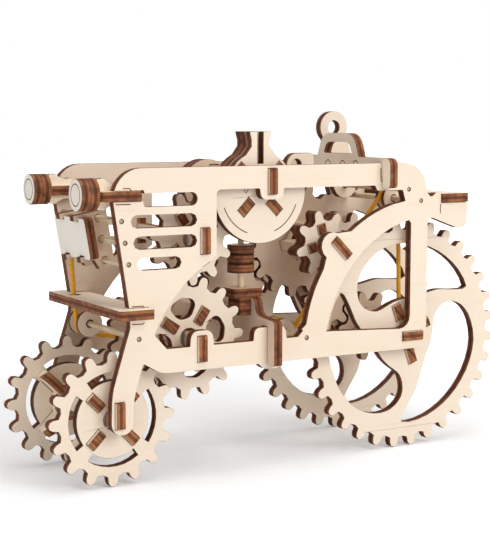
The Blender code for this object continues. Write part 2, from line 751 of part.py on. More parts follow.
def make_engine():
    slots = radial_slots(*ENGINE_UPPER_TABS) + radial_slots(*ENGINE_LOWER_TABS)
    bar = tab_hole((LUG_AXIS[0] - ENGINE_AXIS[0], LUG_AXIS[1] - ENGINE_AXIS[1]))
    for name, radius, plies, mouth_slot in (("engine_front_plate", ENGINE_RADIUS, 1, 2.2),
                                            ("engine_back_plate", ENGINE_BACK_RADIUS, 2, 0)):
        y = ENGINE_FRONT_Y
        if plies == 2:
            y += PLY / 2 + FIT + PLY
        loop = flask_outline(FLASK_RADIUS, radius, mouth_slot)
        side_plate(name, [loop, bar] + slots, y, ENGINE_AXIS, plies * PLY)
    disc = circle(FAR_DISC_RADIUS, (0, 0), 36)
    side_plate("far_engine_disc", [disc, bar], FAR_DISC_Y, ENGINE_AXIS, 2 * PLY)
    low = ENGINE_FRONT_Y - PLY / 2 - 0.1
    high = ENGINE_FRONT_Y + 2.5 * PLY + FIT
    collar_length = ENGINE_COLLAR[2]
    back = high + FIT + collar_length
    cross = None
    for inner, outer, angles in (ENGINE_LOWER_TABS, ENGINE_UPPER_TABS):
        outline = strip_outline(inner, outer, low, back)
        if cross:
            join(cross, radial_plates("engine_upper_tabs", ENGINE_AXIS, angles, outline))
        else:
            cross = hub("engine_cross", ENGINE_AXIS, angles, outline, ENGINE_COLLAR,
                        back - collar_length / 2)


def make_clip_plate():
    """Clips over both lower bars, low under the inner gears and high under the governor."""
    over = FRAME_INNER - RUN
    out = FRAME_OUTER + RUN
    tip = out + 4.0
    bridge = 46.1 + FIT
    low = 34.0
    floor = LINK_AXIS[1] - pitch_radius(LINK_TEETH) - ADDENDUM - 0.6
    seat = GOVERNOR_SEAT - PLY - FIT
    corners = [(-tip, low, 0.6), (-out, low, 0.3), (-out, bridge, 0.3), (-over, bridge, 0.3),
               (-over, low + 3.5, 1.0), (over, low + 3.5, 1.0), (over, bridge, 0.3),
               (out, bridge, 0.3), (out, low, 0.3), (tip, low, 0.6), (tip, 48.2, 1.4),
               (17.0, 48.6, 3.0), (12.5, floor, 2.0), (-1.6, floor, 1.5), (-2.2, seat, 0.8),
               (GOVERNOR_Y - 5.6, seat, 2.0), (-17.0, 49.0, 3.0), (-tip, 48.2, 1.4)]
    cross_plate("clip_plate", [rounded(corners, 4)], CLIP_X)


def make_governor():
    """A standing shaft with a stack of discs, in a seat block carried by the clip plate."""
    hole = circle(PIN_RADIUS + RUN, (0, 0), 12)
    plate = rounded([(-4.6, -4.4, 1.5), (5.6, -4.4, 0.8), (5.6, 4.4, 0.8), (-4.6, 4.4, 1.5)], 3)
    place = (GOVERNOR_X, GOVERNOR_Y)
    back = CLIP_X - PLY / 2 - FIT - GOVERNOR_X
    block = rounded([(back - 4.2, -4.0, 0.8), (back, -4.0, 0.2), (back, 4.0, 0.2),
                     (back - 4.2, 4.0, 0.8)], 2)
    seat = level_plate("governor_seat", [plate, hole], GOVERNOR_SEAT - PLY / 2, *place)
    under = level_plate("governor_block", [block], GOVERNOR_SEAT - 1.9 * PLY, *place,
                        thickness=2 * PLY)
    join(as_mesh(seat), as_mesh(under))
    foot = GOVERNOR_SEAT - 0.9 * PLY + FIT - GOVERNOR_TOP
    disc = GOVERNOR_RADIUS
    profile = [(0, 6.0), (PIN_RADIUS, 6.0), (PIN_RADIUS, 0), (disc, 0)]
    for level in (PLY, 2 * PLY):
        profile += [(disc, 0.2 - level), (disc - 0.7, 0.2 - level), (disc - 0.7, -0.2 - level),
                    (disc, -0.2 - level)]
    profile += [(disc, -3 * PLY), (PIN_RADIUS, -3 * PLY), (PIN_RADIUS, foot), (0, foot)]
    turned("governor", [profile], (*place, GOVERNOR_TOP), True, 22, closed=False)


def make_dashboard():
    out = OVERHANG
    ledge = DASH_SEAT
    seat = FRAME_OUTER + RUN
    inside = FRAME_INNER - RUN
    top = 98.8
    lever = PULL_LEVER_HEIGHT / 2 + RUN
    arch_half = 12.6
    outline = rounded([(-out, 89.0, 1.4), (-seat, 89.0, 0.3), (-seat, ledge, 0.3),
                       (-inside, ledge, 0.3), (-inside, 90.4, 0.6),
                       (inside, 90.4, 0.6), (inside, ledge, 0.3), (seat, ledge, 0.3),
                       (seat, 89.0, 0.3), (out, 89.0, 1.4), (out, top, 2.4),
                       (arch_half + ARCH_SHIFT, top, 0.6), (9.4 + ARCH_SHIFT, 106.7, 6.0),
                       (ARCH_SHIFT - 9.4, 106.7, 6.0), (ARCH_SHIFT - arch_half, top, 0.6),
                       (-out, top, 2.4)], 5)
    window = rounded([(ARCH_SHIFT - 8.6, 99.8, 0.5), (ARCH_SHIFT + 8.6, 99.8, 0.5),
                      (ARCH_SHIFT + 6.9, 103.7, 3.6), (ARCH_SHIFT - 6.9, 103.7, 3.6)], 5)
    lever_slot = box_loop((PULL_LEVER_Y, PULL_LEVER_Z), PLY + 2 * RUN, 2 * lever)
    cross_plate("dashboard", [outline, window, lever_slot], DASH_X)


def make_levers():
    """The pull lever slides through the dashboard on a rest rod; the ring lever tilts on its rod."""
    half = PULL_LEVER_HEIGHT / 2
    length = PULL_LEVER_BACK - PULL_LEVER_FRONT
    ring_z = PULL_LEVER_RING_Z - PULL_LEVER_Z
    step = PULL_LEVER_HIGH
    loop = arc((0, ring_z), PULL_LEVER_RING, 90, 250, 10)
    loop += [(0, -half), (length, -half), (length, half), (step, half)]
    loop += arc((step - 1.5, ring_z + PULL_LEVER_RING - 1.5), 1.5, 0, 90, 3)
    hole = circle(PULL_LEVER_HOLE, (0, ring_z), 14)
    side_plate("pull_lever", [loop, hole], PULL_LEVER_Y, (PULL_LEVER_FRONT, PULL_LEVER_Z))
    top = (RING_LEVER_TOP[0] - LEVER_AXIS[0], RING_LEVER_TOP[1] - LEVER_AXIS[1])
    lean = math.degrees(math.atan2(top[1], top[0]))
    loop = arc(top, RING_OUTER, lean - 125, lean + 125, 16)
    loop += arc((0, 0), RING_FOOT, lean + 95, lean + 265, 8)
    holes = [circle(RING_INNER, top, 16), circle(PIN_RADIUS + RUN, (0, 0), 12)]
    side_plate("ring_lever", [loop] + holes, RING_LEVER_Y, LEVER_AXIS)


def make_hitch():
    reach = FRAME_OUTER + PROUD
    outline = rounded([(HITCH_FRONT, -reach, 0.4), (HITCH_BACK, -reach, 0.4),
                       (HITCH_BACK, reach, 0.4), (HITCH_FRONT, reach, 0.4)], 2)
    slot_loop = box_loop(((HITCH_FRONT + HITCH_BACK) / 2, 0), 6.4 + 2 * FIT, PLY + 2 * FIT)
    level_plate("hitch_plate", [outline, slot_loop], HITCH_Z)
    middle = ((HITCH_FRONT + HITCH_BACK) / 2, HITCH_Z)
    above = PLY / 2 + FIT
    loop = [(-3.2, -2.4), (3.2, -2.4), (3.2, above), (4.6, above), (4.6, 3.0)]
    loop += arc((0, 3.2), 4.6, 0, 180, 10)
    loop += [(-4.6, above), (-3.2, above)]
    side_plate("hitch_eye", [loop, circle(1.5, (0, 3.4), 14)], 0, middle)


# Turning pieces


def wheel_outline(teeth, radius, phase):
    return toothed(teeth, radius, radius - WHEEL_TOOTH_DEPTH, WHEEL_TOOTH_WIDTH, phase)


def arc_slot(inner, outer, middle, sweep):
    return (arc((0, 0), outer, middle - sweep / 2, middle + sweep / 2, 7)
            + arc((0, 0), inner, middle + sweep / 2, middle - sweep / 2, 7))


def make_front_wheels():
    for name, side in (("front_left", -1), ("front_right", 1)):
        loops = [wheel_outline(FRONT_TEETH, FRONT_RADIUS, FRONT_PHASE), circle(BAR_HOLE, (0, 0), 18)]
        loops += radial_slots(HUB_INNER, HUB_OUTER, FOUR)
        loops += [arc_slot(12.0, 14.6, middle, 70) for middle in (0, 90, 180, 270)]
        side_plate(name + "_wheel", loops, side * FRONT_Y, FRONT_AXIS)
        face = side * (FRONT_Y + PLY / 2 + 1.0)
        shoulder = side * (FRONT_Y - PLY / 2 - FIT)
        inner = side * (FRONT_Y - PLY / 2 - 6.0)
        outline = [(HUB_INNER, face), (HUB_OUTER, face), (HUB_OUTER, shoulder), (13.6, shoulder),
                   (13.6, inner + side * 1.5), (12.0, inner), (HUB_INNER, inner)]
        collar_y = side * (FRONT_Y - PLY - FIT)
        hub(name + "_hub", FRONT_AXIS, FOUR, outline, HUB_COLLAR, collar_y)


def make_rear_wheels():
    for name, side in (("rear_left", -1), ("rear_right", 1)):
        loops = [wheel_outline(REAR_TEETH, REAR_RADIUS, REAR_PHASE), circle(BAR_HOLE, (0, 0), 18)]
        loops += radial_slots(HUB_INNER, REAR_HUB_OUTER, REAR_TURN)
        for turn in (0, 120, 240):
            loops.append(smoothed([polar(radius, angle + turn) for radius, angle in REAR_WINDOW]))
        side_plate(name + "_wheel", loops, side * REAR_Y, REAR_AXIS)
    face = REAR_Y + PLY / 2 + 1.0
    step = REAR_Y - PLY / 2 - 1.6
    outer = REAR_HUB_OUTER
    outline = [(HUB_INNER, -face), (outer, -face), (outer, -step), (REAR_SPOOL, -step),
               (REAR_SPOOL, step), (outer, step), (outer, face), (HUB_INNER, face)]
    hub("rear_hub", REAR_AXIS, REAR_TURN, outline, REAR_COLLAR, REAR_BAND_Y)
    loops = [gear_outline(LINK_TEETH, AXLE_PHASE), circle(BAR_HOLE, (0, 0), 18)]
    loops += radial_slots(HUB_INNER, REAR_SPOOL, REAR_TURN)
    side_plate("rear_axle_gear", loops, INNER_LAYER, REAR_AXIS)


def kidney(inner, outer, middle, sweep):
    """A rounded window between a gear's hub and its rim."""
    corners = []
    for radius, angle in ((inner, middle - sweep * 0.36), (outer, middle - sweep / 2),
                          (outer + 0.6, middle), (outer, middle + sweep / 2),
                          (inner, middle + sweep * 0.36)):
        corners.append((*polar(radius, angle), 3.2))
    return rounded(corners, 4)


def make_drive_gears():
    """The low drive gear behind the bar, its inner twin, and the hub strips between them."""
    windows = [kidney(6.6, 12.6, a + 45, 52) for a in DRIVE_TURN]
    slots = radial_slots(HUB_INNER, HUB_OUTER, DRIVE_TURN)
    bore = circle(BAR_HOLE, (0, 0), 18)
    outline = gear_outline(DRIVE_TEETH, DRIVE_PHASE)
    side_plate("drive_gear", [outline, bore] + slots + windows, NEAR_LAYER, DRIVE_AXIS)
    side_plate("drive_gear_inner", [outline, bore] + slots, INNER_LAYER, DRIVE_AXIS)
    outline = strip_outline(HUB_INNER, HUB_OUTER, NEAR_LAYER - PLY / 2 - PROUD,
                            INNER_LAYER + PLY / 2 + 0.6)
    hub("drive_hub", DRIVE_AXIS, DRIVE_TURN, outline, HUB_COLLAR, -5.0)


def make_top_gear():
    bore = circle(BAR_HOLE, (0, 0), 18)
    slots = radial_slots(HUB_INNER, 9.4, TOP_TURN)
    side_plate("top_gear", [gear_outline(TOP_TEETH, TOP_PHASE), bore] + slots, NEAR_LAYER, TOP_AXIS)
    outline = strip_outline(HUB_INNER, 9.4, NEAR_LAYER - PLY / 2 - 1.0, NEAR_LAYER + PLY / 2 + 8.0)
    hub("top_hub", TOP_AXIS, TOP_TURN, outline, HUB_COLLAR, NEAR_LAYER + PLY + FIT)


def make_pinion():
    bore = circle(SLIM_HOLE, (0, 0), 14)
    slots = radial_slots(SLIM_HUB_INNER, SLIM_HUB_OUTER, PINION_TURN)
    thick = 2 * PLY
    centre = NEAR_LAYER + PLY / 2
    outline = gear_outline(NEAR_PINION_TEETH, PINION_PHASE)
    side_plate("pinion", [outline, bore] + slots, centre, PINION_AXIS, thick)
    side_plate("large_gear", [gear_outline(DRIVE_TEETH, BIG_PHASE), bore] + slots,
               INNER_LAYER, PINION_AXIS)
    outline = strip_outline(SLIM_HUB_INNER, SLIM_HUB_OUTER, centre - thick / 2 - 0.5,
                            INNER_LAYER + PLY / 2 + 0.6)
    hub("pinion_hub", PINION_AXIS, PINION_TURN, outline, SLIM_COLLAR, 0.0)


def make_idlers():
    """Two small gears, each fast on a pin that turns in the carrier plate."""
    high = CARRIER_Y + PLY / 2 + 0.8
    for name, teeth, phase, axis in (("link_gear", LINK_TEETH, LINK_PHASE, LINK_AXIS),
                                     ("idler_gear", PINION_TEETH, IDLER_PHASE, IDLER_AXIS)):
        gear = as_mesh(side_plate(name, [gear_outline(teeth, phase)], INNER_LAYER, axis))
        height = high - INNER_LAYER
        profile = [(0, 0), (PIN_RADIUS, 0), (PIN_RADIUS, -height), (0, -height)]
        pin = turned(name + "_pin", [profile], (axis[0], INNER_LAYER, axis[1]), steps=12, closed=False)
        join(gear, pin)


def make_carrier():
    """An inner plate on two of the cross bars, which holds the idlers' pins."""
    half = CARRIER_HALF
    start = DRIVE_AXIS
    bend = PINION_AXIS
    end = IDLER_AXIS
    rise = direction(start, bend)
    fall = direction(bend, end)
    loop = arc(start, half, rise + 90, rise + 270, 10)
    middle = (rise - 90 + fall - 90) / 2
    reach = half / math.cos(math.radians((rise - fall) / 2))
    loop.append(polar(reach, middle, bend))
    loop += arc(end, half, fall - 90, fall + 90, 10)
    loop += arc(bend, half, fall + 90, rise + 90, 6)
    holes = [box_loop(start, BAR_NECK + 2 * FIT, PLY + 2 * FIT, 90),
             box_loop(bend, SLIM_BAR + 2 * FIT, PLY + 2 * FIT, -45)]
    holes += [circle(PIN_HOLE, LINK_AXIS, 10), circle(PIN_HOLE, end, 10)]
    side_plate("gear_carrier_plate", [loop] + holes, CARRIER_Y)


def pulley(name, axis, y, groove=PULLEY_GROOVE):
    half = groove / 2
    edge = half + PULLEY_CHEEK
    bore = PIN_RADIUS + RUN
    profile = [(bore, edge), (PULLEY_FLANGE, edge), (PULLEY_FLANGE, half), (PULLEY_CORE, half),
               (PULLEY_CORE, -half), (PULLEY_FLANGE, -half), (PULLEY_FLANGE, -edge), (bore, -edge)]
    turned(name, [profile], (axis[0], y, axis[1]))


def tangent_belt(wheels):
    """A closed loop round pulleys: each is (axis, radius, y where the band comes in and goes out).

    A radius below 0 is wrapped clockwise."""
    route = []
    leaving = []
    for i in range(len(wheels)):
        start, r0 = wheels[i][:2]
        end, r1 = wheels[(i + 1) % len(wheels)][:2]
        gap = math.hypot(end[0] - start[0], end[1] - start[1])
        lean = math.degrees(math.asin((r0 - r1) / gap))
        leaving.append(direction(start, end) - 90 + lean)
    for i, (axis, radius, y_in, y_out) in enumerate(wheels):
        enter = leaving[i - 1]
        leave = leaving[i]
        turn = math.copysign(360, radius)
        while (leave - enter) * turn < 0:
            leave += turn
        places = arc(axis, radius, enter, leave, 8)
        for k, (x, z) in enumerate(places):
            route.append((x, y_in + (y_out - y_in) * k / 8, z))
    return route


def make_bands():
    band = material("band_rubber", (0.93, 0.66, 0.08), 0.55)
    grip = PULLEY_CORE + BAND_GAP + BAND_RADIUS
    flat = (REAR_BAND_Y, REAR_BAND_Y)
    cross = (REAR_BAND_Y - BAND_CROSS, REAR_BAND_Y + BAND_CROSS)
    rear = tangent_belt([(GUIDE_AXIS, -grip, *cross),
                         (REAR_AXIS, REAR_SPOOL + BAND_GAP + BAND_RADIUS, *flat),
                         (DRUM_AXIS, grip, *flat)])
    tube("rear_band", [rear], BAND_RADIUS, (*DRUM_AXIS, 0), band, True)
    hook = GRILLE_PINS[2]
    around_rod = arc(hook, PIN_RADIUS + BAND_GAP + BAND_RADIUS, -40, 176, 7)
    around_pulley = arc(FRONT_PULLEY_AXIS, grip, 182, 262, 5)
    around_bar = arc(DRIVE_AXIS, math.hypot(BAR_NECK, PLY) / 2 + BAND_GAP + BAND_RADIUS, 262, 440, 8)
    route = [(x, BAND_Y, z) for x, z in around_rod + around_pulley + around_bar]
    tube("front_band", [route], BAND_RADIUS, (FRONT_PULLEY_AXIS[0], BAND_Y, FRONT_PULLEY_AXIS[1]),
         band)


def build():
    make_frames()
    make_rods()
    make_platform()
    make_headlights()
    make_badge()
    make_engine()
    make_clip_plate()
    make_governor()
    make_dashboard()
    make_levers()
    make_hitch()
    make_front_wheels()
    make_rear_wheels()
    make_drive_gears()
    make_top_gear()
    make_pinion()
    make_idlers()
    make_carrier()
    pulley("front_pulley", FRONT_PULLEY_AXIS, WIDE_PULLEY_Y, WIDE_GROOVE)
    pulley("guide_pulley", GUIDE_AXIS, REAR_BAND_Y, WIDE_GROOVE)
    pulley("rear_drum", DRUM_AXIS, REAR_BAND_Y)
    make_bands()


build()
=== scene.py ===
"""Looks, light and camera for the wooden tractor model."""
import math

import bpy
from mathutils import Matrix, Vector


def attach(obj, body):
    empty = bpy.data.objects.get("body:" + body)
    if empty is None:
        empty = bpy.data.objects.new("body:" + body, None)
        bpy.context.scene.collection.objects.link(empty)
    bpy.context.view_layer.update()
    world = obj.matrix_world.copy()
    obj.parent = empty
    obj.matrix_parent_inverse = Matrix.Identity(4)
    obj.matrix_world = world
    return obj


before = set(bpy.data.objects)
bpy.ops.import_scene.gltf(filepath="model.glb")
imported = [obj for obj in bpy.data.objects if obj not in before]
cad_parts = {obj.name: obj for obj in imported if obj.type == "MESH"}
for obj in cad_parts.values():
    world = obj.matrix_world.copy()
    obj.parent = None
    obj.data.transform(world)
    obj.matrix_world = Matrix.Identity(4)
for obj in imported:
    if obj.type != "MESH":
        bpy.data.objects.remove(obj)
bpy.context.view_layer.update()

MM = 0.001

# Sizes in millimetres. The front axle lies ORIGIN_X ahead of the row frame's origin
ORIGIN_X = 63.906
PLY = 3.0
FRAME_FACE_Y = 23.8
ENGINE_FACE_Y = 20.5
ENGINE_AXIS = (51.5, 89.2)
ENGINE_LINE_RADIUS = 14.0
DASH_FACE_X = 96.0
DIAL_RADIUS = 1.5
LENS_FACE_X = -10.8
LENS_PLACES = ((-18.6, 89.4), (18.6, 89.4))
LENS_RING_RADIUS = 3.3
LINE_WIDTH = 0.19
LINE_FLATNESS = 0.15
BRACKET_TIP_Y = 24.8
BRACKET_PLATE_Y = 18.6
WELD_GAP = 0.004
WORN_EDGE = 0.11

# Linear colours
CREAM = (0.90, 0.775, 0.635)
CREAM_DARK = (0.85, 0.70, 0.54)
PALE = (0.79, 0.59, 0.42)
WHITE_CREAM = (0.93, 0.87, 0.78)
# Painted shade: the brown that darkens faces between the frames
SHADE_BROWN = (0.56, 0.385, 0.27)
EDGE_DARK = (0.052, 0.016, 0.009)
EDGE_MID = (0.235, 0.075, 0.030)
EDGE_LIGHT = (0.46, 0.195, 0.078)
LINE = (0.045, 0.02, 0.012)
AMBER = (0.86, 0.42, 0.018)
AMBER_DARK = (0.70, 0.30, 0.012)
ROD_PALE = (0.78, 0.63, 0.45)
ROD_DARK = (0.52, 0.34, 0.19)
ROD_END = (0.55, 0.40, 0.26)
PIN = (0.72, 0.54, 0.37)
SHAFT = (0.78, 0.62, 0.44)
WHITE = (1, 1, 1, 1)
FLOOR = (0.865, 0.895, 0.935, 1)
SKY = (1.0, 0.94, 0.88, 1)

# How the light falls: where the floor starts and ends its fade to white, in millimetres, how
# strongly it glows there where it is seen, and how strong the world's light is
FADE = (120.0, 420.0)
GLOW = (0.22, 1.0)
SKY_STRENGTH = 0.46

# The lamps: name, place, what they point at, size, power and colour
LAMPS = (
    ("key", (0.30, -0.85, 0.55), (0, 0, 0.05), 0.55, 4.6, (1, 0.98, 0.96)),
    ("fill", (-1.0, -0.25, 0.35), (0, 0, 0.06), 0.7, 1.6, (0.86, 0.94, 1.0)),
    ("top", (0.05, -0.1, 0.9), (0, 0, 0.05), 0.6, 2.8, (1, 0.99, 0.97)),
)

# The camera, fitted to the photo: its place in millimetres from the front axle, its turn and dip
# in degrees, and in pixels its focal length, the picture and where its axis meets the picture
CAMERA_PLACE = (-172.43, -395.47, 112.65)
CAMERA_TURN = 29.66
CAMERA_DIP = 6.20
FOCAL = 1385.85
PICTURE = (490, 533)
CENTRE = (231.74, 266.23)
SENSOR = 36

# Grain directions, as how fast the streaks change along each axis
SIDE_GRAIN = (0.07, 1.0, 1.0)
CROSS_GRAIN = (1.0, 0.07, 1.0)

# Directions: the badge leans back by LEAN, and the tabs of hubs lie on the slant
X_AXIS = (1, 0, 0)
Y_AXIS = (0, 1, 0)
Z_AXIS = (0, 0, 1)
LEAN = math.radians(9.6)
SLANT = math.sqrt(0.5)

# Which way each kind of sheet faces, lengthwise where no list names it
CROSS = ("clip_plate", "dashboard", "drive_gear_bar", "engine_bar", "front_axle_bar", "top_gear_bar",
         "left_headlight", "right_headlight")
LEVEL = ("front_platform", "governor_seat", "hitch_plate", "rear_axle_bar", "governor")
HUBS = ("drive_hub", "engine_cross", "front_left_hub", "front_right_hub", "pinion_hub", "rear_hub",
        "top_hub")
BANDS = ("front_band", "rear_band")

# The pieces between the frames, painted darker and browner as painted shade
INNER = ("large_gear", "link_gear", "idler_gear", "drive_gear_inner", "rear_axle_gear", "pinion_hub",
         "gear_carrier_plate", "rear_hub", "clip_plate", "governor_seat", "top_hub", "drive_hub",
         "left_badge_bracket", "right_badge_bracket", "engine_bar", "far_engine_disc")


class Tree:
    """A material's nodes, added one after another."""

    def __init__(self, name):
        self.material = bpy.data.materials.new(name)
        self.material.use_nodes = True
        self.nodes = self.material.node_tree.nodes
        self.links = self.material.node_tree.links
        self.shader = self.nodes["Principled BSDF"]
        coords = self.nodes.new("ShaderNodeTexCoord")
        self.normal = coords.outputs["Normal"]
        self.place = self.scale(coords.outputs["Object"], (1000, 1000, 1000))

    def put(self, socket, value):
        if hasattr(value, "is_linked"):
            self.links.new(value, socket)
        else:
            socket.default_value = value

    def math(self, operation, first, second=0.0, third=0.0):
        node = self.nodes.new("ShaderNodeMath")
        node.operation = operation
        for socket, value in zip(node.inputs, (first, second, third)):
            self.put(socket, value)
        return node.outputs[0]

    def scale(self, vector, factors):
        node = self.nodes.new("ShaderNodeVectorMath")
        node.operation = "MULTIPLY"
        self.put(node.inputs[0], vector)
        self.put(node.inputs[1], factors)
        return node.outputs[0]

    def move(self, vector, offset):
        node = self.nodes.new("ShaderNodeVectorMath")
        node.operation = "ADD"
        self.put(node.inputs[0], vector)
        self.put(node.inputs[1], offset)
        return node.outputs[0]

    def dot(self, first, second):
        node = self.nodes.new("ShaderNodeVectorMath")
        node.operation = "DOT_PRODUCT"
        self.put(node.inputs[0], first)
        self.put(node.inputs[1], second)
        return node.outputs["Value"]

    def step(self, value, low, high):
        node = self.nodes.new("ShaderNodeMapRange")
        node.interpolation_type = "SMOOTHSTEP"
        self.put(node.inputs["Value"], value)
        self.put(node.inputs["From Min"], low)
        self.put(node.inputs["From Max"], high)
        return node.outputs["Result"]

    def noise(self, vector, scale, detail=3.0, distortion=0.0):
        node = self.nodes.new("ShaderNodeTexNoise")
        self.put(node.inputs["Vector"], vector)
        node.inputs["Scale"].default_value = scale
        node.inputs["Detail"].default_value = detail
        node.inputs["Distortion"].default_value = distortion
        return node.outputs["Fac"]

    def mix(self, amount, first, second):
        node = self.nodes.new("ShaderNodeMix")
        node.data_type = "RGBA"
        self.put(node.inputs["Factor"], amount)
        for socket, value in ((node.inputs[6], first), (node.inputs[7], second)):
            self.put(socket, (*value, 1) if isinstance(value, tuple) else value)
        return node.outputs[2]

    def finish(self, colour, roughness, height=None, depth=0.02):
        self.put(self.shader.inputs["Base Color"], colour)
        self.put(self.shader.inputs["Roughness"], roughness)
        self.shader.inputs["Specular IOR Level"].default_value = 0.25
        if height is not None:
            bump = self.nodes.new("ShaderNodeBump")
            bump.inputs["Strength"].default_value = 0.5
            bump.inputs["Distance"].default_value = depth * MM
            self.put(bump.inputs["Height"], height)
            self.links.new(bump.outputs["Normal"], self.shader.inputs["Normal"])
        return self.material


def birch(tree, grain, seed, cream=CREAM):
    """The sheet's face: pale, with long soft streaks and short darker pores along the grain."""
    moved = tree.move(tree.place, (seed * 31.0, seed * 17.0, seed * 23.0))
    along = tree.scale(moved, grain)
    streaks = tree.noise(along, 0.55, 4.0, 0.6)
    fine = tree.noise(along, 2.6, 2.0)
    clouds = tree.noise(moved, 0.035, 2.0)
    colour = tree.mix(tree.step(streaks, 0.5, 0.95), cream, CREAM_DARK)
    colour = tree.mix(tree.math("MULTIPLY", tree.step(clouds, 0.45, 0.8), 0.35), colour, CREAM_DARK)
    pores = tree.math("MULTIPLY", tree.step(fine, 0.62, 0.8), 0.28)
    return tree.mix(pores, colour, PALE), fine


def burnt(tree, depth, bright, seed):
    """The cut edge: a dark middle ply between browner ones, charred in patches. Bright makes it lighter
    and less charred, partly the char and partly painted light.
    """
    moved = tree.move(tree.place, (seed * 13.0, seed * 7.0, seed * 29.0))
    patches = tree.noise(moved, 0.32, 2.0, 0.3)
    soot = tree.noise(moved, 1.5, 2.0)
    side = tree.mix(bright, EDGE_MID, EDGE_LIGHT)
    core = tree.mix(bright, EDGE_DARK, EDGE_MID)
    colour = tree.mix(tree.step(depth, 0.22, 0.45), core, side)
    colour = tree.mix(tree.step(depth, 0.9, 0.985), colour, EDGE_DARK)
    char = 0.85 - 0.4 * bright
    colour = tree.mix(tree.math("MULTIPLY", tree.step(patches, 0.4, 0.7), char), colour, EDGE_DARK)
    return tree.mix(tree.math("MULTIPLY", tree.step(soot, 0.55, 0.75), 0.45), colour, EDGE_DARK)


def node_is_pale(name):
    return name.startswith(("badge", "left_headlight_look", "right_headlight_look"))


def sheet_depth(tree, axis, low):
    """How far from its sheet's middle a point lies, 0 to 1, and how squarely it faces the axis."""
    level = tree.math("SUBTRACT", tree.dot(tree.place, tuple(axis)), low)
    share = tree.math("FRACT", tree.math("DIVIDE", level, PLY))
    depth = tree.math("ABSOLUTE", tree.math("MULTIPLY_ADD", share, 2.0, -1.0))
    return depth, tree.math("ABSOLUTE", tree.dot(tree.normal, tuple(axis)))


def blend(tree, amount, first, second):
    return tree.math("MULTIPLY_ADD", amount, tree.math("SUBTRACT", second, first), first)


def ply_look(name, axis, low, grain, bright=0.12, seed=1.0, end_axis=None, arm=None, rod=None,
             painted_shade=None):
    """Plywood whose sheets lie across the axis from low upwards, in millimetres.

    An arm is a second sheet, level, beyond a distance from the first one's middle: (y, z).
    A rod is a bare round part, either a pin beyond the sheet or upright at (x, y), through
    discs whose top is at a height.
    The last argument paints a brown shade where the frames and their neighbours hide the light: (the
    side that has it, or 0 for both, and how much)."""
    tree = Tree(name)
    face, fine = birch(tree, grain, seed, WHITE_CREAM if node_is_pale(name) else CREAM)
    depth, flat = sheet_depth(tree, axis, low)
    if arm:
        offset = tree.math("ABSOLUTE", tree.math("SUBTRACT", tree.dot(tree.place, Y_AXIS), arm[0]))
        beyond = tree.step(offset, PLY / 2 + 0.02, PLY / 2 + 0.06)
        level_depth, level_flat = sheet_depth(tree, Z_AXIS, arm[1])
        depth = blend(tree, beyond, depth, level_depth)
        flat = blend(tree, beyond, flat, level_flat)
    edge = burnt(tree, depth, bright, seed)
    if end_axis:
        end = tree.math("ABSOLUTE", tree.dot(tree.normal, end_axis))
        flat = tree.math("SUBTRACT", 1.0, end)
    amount = tree.step(flat, 0.80, 0.93)
    if rod and rod != "pin":
        height = tree.dot(tree.place, Z_AXIS)
        under = tree.step(height, rod[2] - 0.5, rod[2] - 0.3)
        over = tree.step(height, rod[2] - 8.7, rod[2] - 8.5)
        groove = tree.math("SUBTRACT", over, under)
        amount = tree.math("MULTIPLY", amount, tree.math("SUBTRACT", 1.0, groove))
    colour = tree.mix(amount, edge, face)
    if rod == "pin":
        offset = tree.math("SUBTRACT", tree.dot(tree.place, Y_AXIS), low)
        colour = tree.mix(tree.step(offset, PLY + 0.05, PLY + 0.1), colour, PIN)
    elif rod:
        span = tree.nodes.new("ShaderNodeVectorMath")
        span.operation = "LENGTH"
        offset = tree.move(tree.place, (-rod[0], -rod[1], 0))
        tree.links.new(tree.scale(offset, (1, 1, 0)), span.inputs[0])
        colour = tree.mix(tree.step(span.outputs["Value"], 1.1, 1.25), SHAFT, colour)
    # Painted shade, patchy, on the faces that lie between the frames
    if painted_shade:
        side, share = painted_shade
        if side:
            facing = tree.step(tree.dot(tree.normal, (0, side, 0)), 0.6, 0.9)
            share = tree.math("MULTIPLY", facing, share)
        clouds = tree.noise(tree.place, 0.09, 2.0)
        share = tree.math("MULTIPLY", share, blend(tree, tree.step(clouds, 0.25, 0.7), 0.75, 1.1))
        shade_mix = tree.nodes.new("ShaderNodeMix")
        shade_mix.data_type = "RGBA"
        shade_mix.blend_type = "MULTIPLY"
        tree.put(shade_mix.inputs["Factor"], share)
        tree.put(shade_mix.inputs[6], colour)
        shade_mix.inputs[7].default_value = (*SHADE_BROWN, 1)
        colour = shade_mix.outputs[2]
    return tree.finish(colour, tree.mix(amount, (0.75, 0.75, 0.75), (0.55, 0.55, 0.55)), fine)


def rod_look(name, seed=1.0):
    tree = Tree(name)
    moved = tree.move(tree.place, (seed * 11.0, 0.0, seed * 5.0))
    streaks = tree.noise(tree.scale(moved, (1.0, 0.06, 1.0)), 1.6, 3.0)
    colour = tree.mix(tree.step(streaks, 0.35, 0.75), ROD_PALE, ROD_DARK)
    ends = tree.step(tree.math("ABSOLUTE", tree.dot(tree.normal, (0, 1, 0))), 0.8, 0.95)
    return tree.finish(tree.mix(ends, colour, ROD_END), 0.6, streaks)


def band_look(name):
    tree = Tree(name)
    spots = tree.noise(tree.place, 1.3, 3.0)
    colour = tree.mix(tree.step(spots, 0.35, 0.75), AMBER, AMBER_DARK)
    tree.shader.inputs["Subsurface Weight"].default_value = 0.05
    return tree.finish(colour, 0.42, spots, 0.03)


def line_look():
    tree = Tree("engraved_line")
    soot = tree.noise(tree.place, 3.0, 2.0)
    return tree.finish(tree.mix(soot, LINE, EDGE_MID), 0.8)


def lowest(node, axis):
    low = min(Vector(vert.co).dot(Vector(axis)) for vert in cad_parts[node].data.vertices)
    return low / MM


